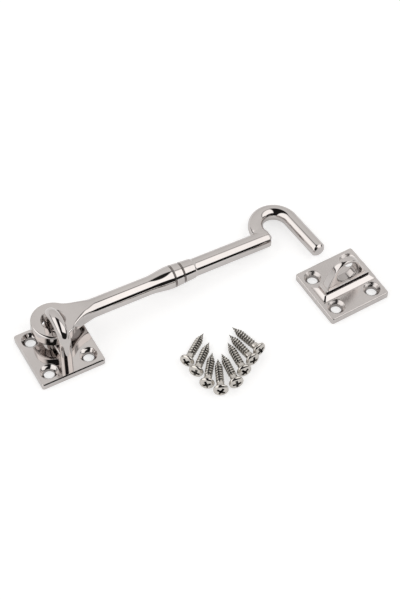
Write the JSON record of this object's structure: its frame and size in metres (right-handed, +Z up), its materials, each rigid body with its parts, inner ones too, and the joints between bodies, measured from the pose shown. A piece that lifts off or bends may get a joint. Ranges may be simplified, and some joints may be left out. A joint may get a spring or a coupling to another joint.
{
  "type": "hook and eye latch",
  "caption": "Polished nickel hook and eye latch: a swinging hook arm captive on a stapled plate, a keeper eye on a matching plate, and loose wood screws.",
  "frame": {"origin": "middle of the hook plate's flat underside", "axes": "+X along the hook arm towards the hook, +Y towards the back of the plate where the arm's ring sits, +Z up from the plates' common plane"},
  "size_m": [0.1749, 0.0901, 0.0291],
  "materials": {
    "polished_nickel": "polished nickel plate, mirror bright",
    "screw_nickel": "bright nickel plate over a rolled thread",
    "fixing_steel": "plain zinc-plated steel"
  },
  "bodies": {
    "mounting": {"hook_plate": "polished_nickel", "hook_staple": "polished_nickel", "hook_staple_fixing_1": "fixing_steel", "hook_staple_fixing_2": "fixing_steel", "keeper_plate": "polished_nickel", "keeper_eye": "polished_nickel", "keeper_eye_fixing_1": "fixing_steel", "keeper_eye_fixing_2": "fixing_steel", "screw_1": "screw_nickel", "screw_2": "screw_nickel", "screw_3": "screw_nickel", "screw_4": "screw_nickel", "screw_5": "screw_nickel", "screw_6": "screw_nickel", "screw_7": "screw_nickel", "screw_8": "screw_nickel"},
    "arm": {"hook_arm": "polished_nickel"}
  },
  "joints": [
    {"name": "arm_swing", "type": "hinge", "parent": "mounting", "child": "arm", "pos_m": [0, 0.0085, 0.0118], "axis": [0, 0, 1], "range_deg": [-1.5, 220]}
  ]
}
